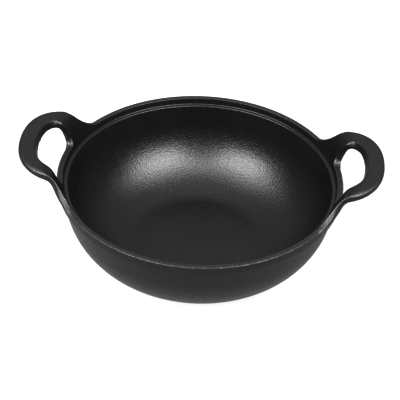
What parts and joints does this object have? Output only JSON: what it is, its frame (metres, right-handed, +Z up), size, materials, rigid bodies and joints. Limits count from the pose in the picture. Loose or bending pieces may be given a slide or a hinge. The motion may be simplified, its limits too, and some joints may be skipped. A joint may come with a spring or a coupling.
{
  "type": "stew pot",
  "caption": "Shallow round-bellied cast-iron stew pot with a thick rim band, a recessed ledge for a lid inside the rim, and loop handles rising out of the rim on opposite sides.",
  "frame": {"origin": "on the table, under the middle of the flat base", "axes": "+X through the right handle, +Y away from the picture's viewer, +Z up"},
  "size_m": [0.3172, 0.25, 0.108],
  "materials": {
    "cast_iron": "satin black seasoned sand casting"
  },
  "bodies": {
    "root": {"bowl": "cast_iron", "rim_ring": "cast_iron", "handle_right": "cast_iron", "handle_left": "cast_iron"}
  },
  "joints": []
}
